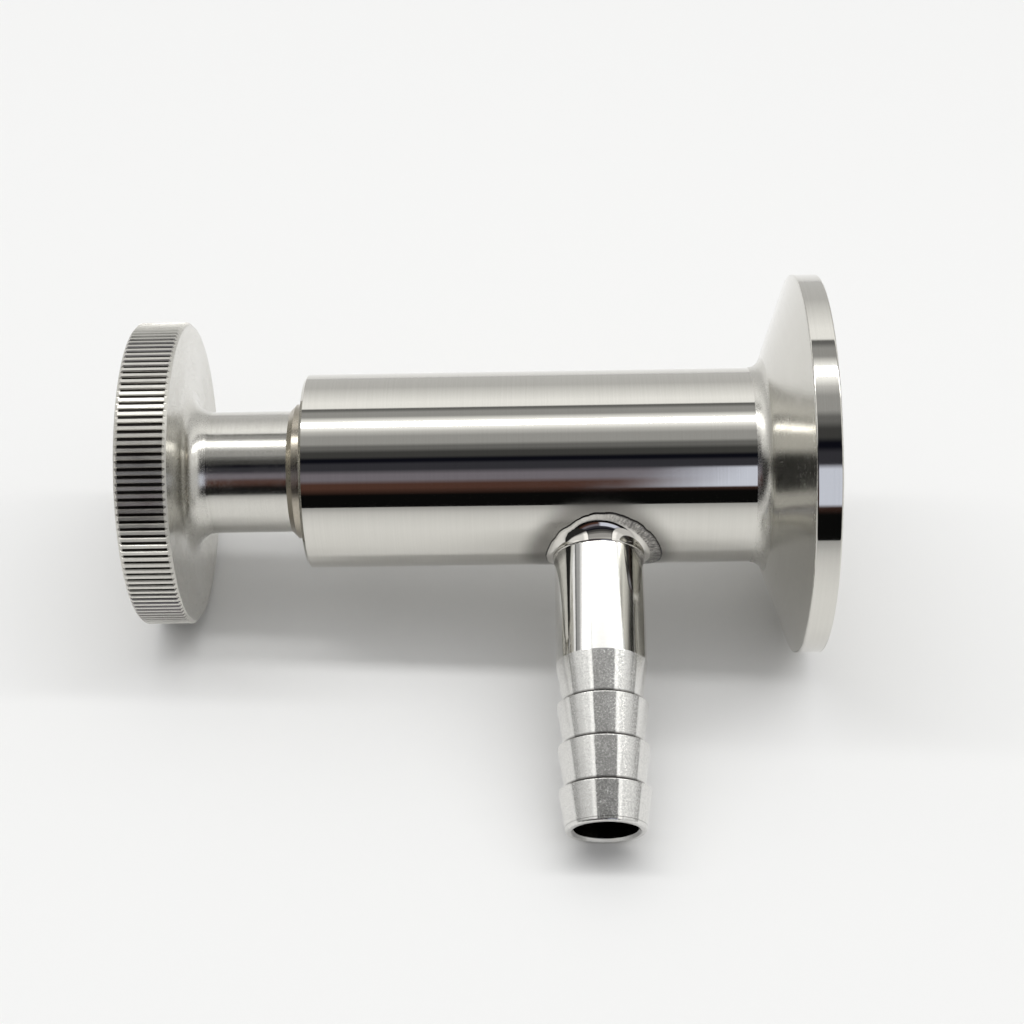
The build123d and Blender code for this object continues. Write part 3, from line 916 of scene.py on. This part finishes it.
@dataclass
class Studio:
    """Soft studio: pale walls and ceiling, a dark doorway on the near side, and a row of lamps overhead."""

    brightest: float = 1.6  # radiance that white stands for in the ramps
    arc: tuple[RoomPart, ...] = (
        RoomPart(0, 25, 0.70),  # far wall
        RoomPart(53, 61.3, 1.28),  # pale ceiling
        RoomPart(62.4, 64.4, 0.19),  # beam
        RoomPart(68, 74, 0.44),  # dim ceiling
        RoomPart(80, 89, 1.5),  # tray of the lamps
        RoomPart(94, 94.5, 0.76),  # ceiling on this side
        RoomPart(99.5, 108.5, 0.46),  # the same in shade
        RoomPart(112, 115, 0.2),  # dark corner
        RoomPart(119, 124, 0.07),  # lintel
        RoomPart(127, 130, 0.012, "#BDC4FF"),  # door frame
        RoomPart(133, 139.5, 0.06, "#E8E8FF"),  # dark blind
        RoomPart(145, 151, 0.26, "#F6EDFF"),  # next room
        RoomPart(156, 161, 0.11, "#FFB8A2"),  # wooden floor
        RoomPart(169, ARC_END, 0.005),  # unlit floor
    )
    # Level by the sine of the angle to the side: along the ceiling with its joint, then on the wall
    ceiling_sides: tuple[Pair, ...] = (
        *((0.0, 1.0), (0.42, 1.0), (0.43, 0.7), (0.45, 0.7)),
        *((0.46, 1.0), (0.8, 1.0), (0.9, 0.75), (1.0, 0.6)),
    )
    wall_sides: tuple[Pair, ...] = ((0.47, 1.5), (0.58, 1.5), (0.64, 1.0), (0.94, 1.0), (1.0, 0.7))
    wall_foot: RoomPart = RoomPart(116, 130, 0.03)  # the wall left of the doorway darkens over this stretch
    wall_foot_right: float = 0.75
    doorway_half_width: float = 0.47
    doorway_top: Pair = (90, 95)  # degrees over which the ceiling gives way to the walls
    # Bright window in the next room, seen to the right through the doorway, and its soft edges in degrees
    window: RoomPart = RoomPart(142.5, 163, 1.1, "#E6ECFF")
    window_soft: Pair = (3, 2)
    window_sides: tuple[float, float, float, float] = (0.02, 0.07, 0.44, 0.47)
    background: str = "#F5F5F5"  # what the camera sees past the table's edge
    lamp_reach_m: float = 1.0
    lamp_lean: float = 0.1  # towards the far side, as a share of its height
    lamp_width_m: float = 0.11
    lamp_gap_m: float = 0.02
    lamp_middle_m: float = 1.04
    lamp_ends_m: float = 0.7
    lamp_watts_per_m: float = 2.68
    fill: float = 1.15  # level of the soft light from straight above, which only matt surfaces take
    fill_from: float = 0.2  # cosine from straight above where it starts

    def build(self) -> None:
        """Makes the world and the lamps."""
        self.make_world()
        start = self.lamp_middle_m / 2 + self.lamp_gap_m + self.lamp_ends_m / 2
        for name, along, length in (
            ("lamp_left", -start, self.lamp_ends_m),
            ("lamp_middle", 0.0, self.lamp_middle_m),
            ("lamp_right", start, self.lamp_ends_m),
        ):
            self.make_lamp(name, along, length)

    def radiance(self, level: float, tint: str = "#FFFFFF") -> Rgba:
        """Colour that a ramp holds for a level of light, as linear red, green, blue and alpha."""
        return *(part * level / self.brightest for part in linear(tint)[:3]), 1.0

    def make_world(self) -> None:
        """Makes the room that polished steel reflects."""
        world = bpy.data.worlds.new("studio_room")
        bpy.context.scene.world = world
        world.use_nodes = True
        tree = world.node_tree
        tree.nodes.clear()
        way = add_node(tree, "TexCoord").outputs["Generated"]
        up, far, right = (
            add_node(tree, "VectorMath", {0: way, 1: line}, operation="DOT_PRODUCT")
            for line in (TABLE_UP.normalized(), TABLE_FAR.normalized(), TABLE_RIGHT)
        )
        turn = add_node(tree, "Math", {0: up, 1: far}, operation="ARCTAN2")
        whole = add_node(tree, "Math", {0: turn, 1: 1.5 * math.pi, 2: -0.5 * math.pi}, operation="WRAP")
        arc = add_node(tree, "MapRange", {0: whole, 1: 0.0, 2: math.radians(ARC_END)})
        middle = add_node(tree, "ValToRGB", {0: arc})
        set_stops(
            middle.color_ramp,
            [
                (edge / ARC_END, self.radiance(part.level, part.tint))
                for part in self.arc
                for edge in (part.start, part.end)
            ],
        )
        beside = add_node(tree, "Math", {0: right}, operation="ABSOLUTE")
        feeds = {
            "Factor": self.pane(tree, arc, right),
            "A": middle,
            "B": self.radiance(self.window.level, self.window.tint),
        }
        doorway = add_node(tree, "Mix", feeds, data_type="RGBA")
        along = add_node(tree, "ValToRGB", {0: beside})
        set_stops(along.color_ramp, greys(self.ceiling_sides))
        feeds = {"Factor": 1.0, "A": doorway, "B": along}
        ceiling = add_node(tree, "Mix", feeds, data_type="RGBA", blend_type="MULTIPLY")
        past = add_node(tree, "Math", {0: beside, 1: self.doorway_half_width}, operation="GREATER_THAN")
        top, bottom = self.doorway_top
        near = add_node(tree, "MapRange", {0: arc, 1: top / ARC_END, 2: bottom / ARC_END})
        wall = add_node(tree, "Math", {0: past, 1: near}, operation="MULTIPLY")
        feeds = {"Factor": wall, "A": ceiling, "B": self.walls(tree, arc, right, beside)}
        room = add_node(tree, "Mix", feeds, data_type="RGBA")
        seen = add_node(tree, "Background", {"Color": room, "Strength": self.brightest})
        behind = add_node(tree, "Background", {"Color": linear(self.background), "Strength": 1.0})
        overhead = add_node(tree, "MapRange", {0: up, 1: self.fill_from, 2: 1.0, 4: self.fill})
        soft = add_node(tree, "Background", {"Color": linear(self.background), "Strength": overhead})
        rays = add_node(tree, "LightPath")
        lit = add_node(tree, "MixShader", {0: rays.outputs["Is Diffuse Ray"], 1: seen, 2: soft})
        picked = add_node(tree, "MixShader", {0: rays.outputs["Is Camera Ray"], 1: lit, 2: behind})
        add_node(tree, "OutputWorld", {"Surface": picked})

    def pane(self, tree: Tree, arc: Node, right: Node) -> Node:
        """Finds where the window of the next room is.

        Args:
            tree: the node tree.
            arc: place on the arc over the valve, 0 to 1.
            right: sine of the angle to the right.

        Returns:
            A node that gives 1 in the window and 0 outside it.
        """
        left, full, fading, gone = self.window_sides
        shown = add_node(tree, "MapRange", {0: right, 1: left, 2: full})
        hidden = add_node(tree, "MapRange", {0: right, 1: fading, 2: gone, 3: 1.0, 4: 0.0})
        start, end = self.window.start, self.window.end
        before, after = self.window_soft
        rising = add_node(tree, "MapRange", {0: arc, 1: (start - before) / ARC_END, 2: start / ARC_END})
        setting = add_node(tree, "MapRange", {0: arc, 1: end / ARC_END, 2: (end + after) / ARC_END, 3: 1.0, 4: 0.0})
        across = add_node(tree, "Math", {0: shown, 1: hidden}, operation="MULTIPLY")
        upright = add_node(tree, "Math", {0: rising, 1: setting}, operation="MULTIPLY")
        return add_node(tree, "Math", {0: across, 1: upright}, operation="MULTIPLY")

    def walls(self, tree: Tree, arc: Node, right: Node, beside: Node) -> Node:
        """Lights the walls on both sides of the doorway.

        Args:
            tree: the node tree.
            arc: place on the arc over the valve, 0 to 1.
            right: sine of the angle to the right.
            beside: sine of the angle to either side.

        Returns:
            A node that gives the walls' colour.
        """
        foot = self.wall_foot
        down = add_node(tree, "MapRange", {0: arc, 1: foot.start / ARC_END, 2: foot.end / ARC_END})
        is_right = add_node(tree, "Math", {0: right, 1: 0.0}, operation="GREATER_THAN")
        feeds = {"Factor": is_right, "A": self.radiance(foot.level), "B": self.radiance(self.wall_foot_right)}
        low = add_node(tree, "Mix", feeds, data_type="RGBA")
        high = add_node(tree, "ValToRGB", {0: beside})
        set_stops(high.color_ramp, greys(self.wall_sides, self.brightest))
        return add_node(tree, "Mix", {"Factor": down, "A": high, "B": low}, data_type="RGBA")

    def make_lamp(self, name: str, along_m: float, length_m: float) -> None:
        """Hangs one lamp of the row over the table.

        Args:
            name: name of the lamp.
            along_m: how far to the right of the valve it hangs.
            length_m: its length, left to right.
        """
        light = bpy.data.lights.new(name, "AREA")
        light.shape = "RECTANGLE"
        light.size, light.size_y = length_m, self.lamp_width_m
        light.energy = self.lamp_watts_per_m * length_m
        lamp = into_scene(name, light)
        way = (TABLE_UP + self.lamp_lean * TABLE_FAR).normalized()
        turn = Matrix((TABLE_RIGHT, way.cross(TABLE_RIGHT), way)).transposed().to_4x4()
        place = VALVE_MIDDLE * MM + way * self.lamp_reach_m + TABLE_RIGHT * along_m
        lamp.matrix_world = Matrix.Translation(place) @ turn


@dataclass
class Table:
    """White laminate table top; from below it isn't there, so that the valve shows from every side."""

    half_width_m: float = 2.0
    far_edge_m: float = 2.0
    near_edge_m: float = -0.395
    colour: str = "#F1F1F0"
    speck_mm: float = 0.8
    # How the room's light falls off towards the near edge, which shows in polished steel only
    falloff: tuple[Pair, ...] = ((0.0, 0.5), (0.45, 0.62), (0.72, 0.85), (0.88, 1.0))

    def build(self) -> None:
        """Lays the table under the valve."""
        up = TABLE_UP.normalized()
        right, far = TABLE_RIGHT, up.cross(TABLE_RIGHT)
        centre = up * TABLE_OFFSET * MM
        near, past = far * self.near_edge_m, far * self.far_edge_m
        wide = right * self.half_width_m
        corners = [centre - wide + near, centre + wide + near, centre + wide + past, centre - wide + past]
        mesh = bpy.data.meshes.new("table_top")
        mesh.from_pydata([tuple(corner) for corner in corners], [], [(0, 1, 2, 3)])
        top = into_scene("table_top", mesh)
        mesh.materials.append(self.material())
        LOG.info("table: %.1f m across", 2 * self.half_width_m)

    def material(self) -> bpy.types.Material:
        """Makes the laminate.

        Returns:
            The material, ready for a slot.
        """
        made, tree = blank_material("white_laminate")
        place = add_node(tree, "TexCoord").outputs["Object"]
        specks = add_node(tree, "TexNoise", {"Vector": place, "Scale": 1 / (self.speck_mm * MM), "Detail": 2.0})
        roughness = add_node(tree, "MapRange", {0: specks, 1: 0.3, 2: 0.7, 3: 0.55, 4: 0.65})
        along = add_node(tree, "VectorMath", {0: place, 1: TABLE_FAR}, operation="DOT_PRODUCT")
        share = add_node(tree, "MapRange", {0: along, 1: self.near_edge_m, 2: 0.0})
        light = add_node(tree, "ValToRGB", {0: share})
        set_stops(light.color_ramp, greys(self.falloff))
        rays = add_node(tree, "LightPath")
        feeds = {"Factor": rays.outputs["Is Glossy Ray"], "A": linear(self.colour), "B": light}
        tone = add_node(tree, "Mix", feeds, data_type="RGBA")
        feeds = {"Base Color": tone, "Roughness": roughness, "Specular IOR Level": 0.2}
        top = add_node(tree, "BsdfPrincipled", feeds)
        clear = add_node(tree, "BsdfTransparent")
        below = add_node(tree, "NewGeometry").outputs["Backfacing"]
        either = add_node(tree, "MixShader", {0: below, 1: top, 2: clear})
        add_node(tree, "OutputMaterial", {"Surface": either})
        return made


@dataclass
class PhotographersCamera:
    """Camera where the photographer's stood, with its turn and its lens."""

    place_mm: Vector = field(default_factory=lambda: Vector((-36.33, -228.64, -118.84)))
    right: Vector = field(default_factory=lambda: Vector((0.99975, 0.02157, -0.00568)))
    up: Vector = field(default_factory=lambda: Vector((0.01460, -0.44058, 0.89760)))
    lens_mm: float = 67.45

    def build(self) -> None:
        """Sets up the camera."""
        data = bpy.data.cameras.new("camera")
        data.lens = self.lens_mm
        data.sensor_width = 36.0
        data.clip_start, data.clip_end = 0.01, 20.0
        camera = into_scene("camera", data)
        back = self.right.cross(self.up)
        turn = Matrix((self.right, self.up, back)).transposed().to_4x4()
        camera.matrix_world = Matrix.Translation(self.place_mm * MM) @ turn
        bpy.context.scene.camera = camera


def corners(box: tuple[Vector, Vector]) -> list[list[float]]:
    """Lowest and highest corner of a box as plain lists, in metres."""
    return [[float(x) for x in corner] for corner in box]


def main() -> None:
    """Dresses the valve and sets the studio."""
    logging.basicConfig(level=logging.INFO, format="%(message)s")
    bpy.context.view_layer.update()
    for kind in (Ferrule, Barrel, HoseBarb, OutletWeld, Gland, Handwheel, Plunger, Drive):
        part = kind()
        part.build()
        LOG.info("%s done", part.title)
    Table().build()
    Studio().build()
    PhotographersCamera().build()
    bpy.context.scene.view_settings.view_transform = "Standard"


if __name__ == "__main__":
    main()
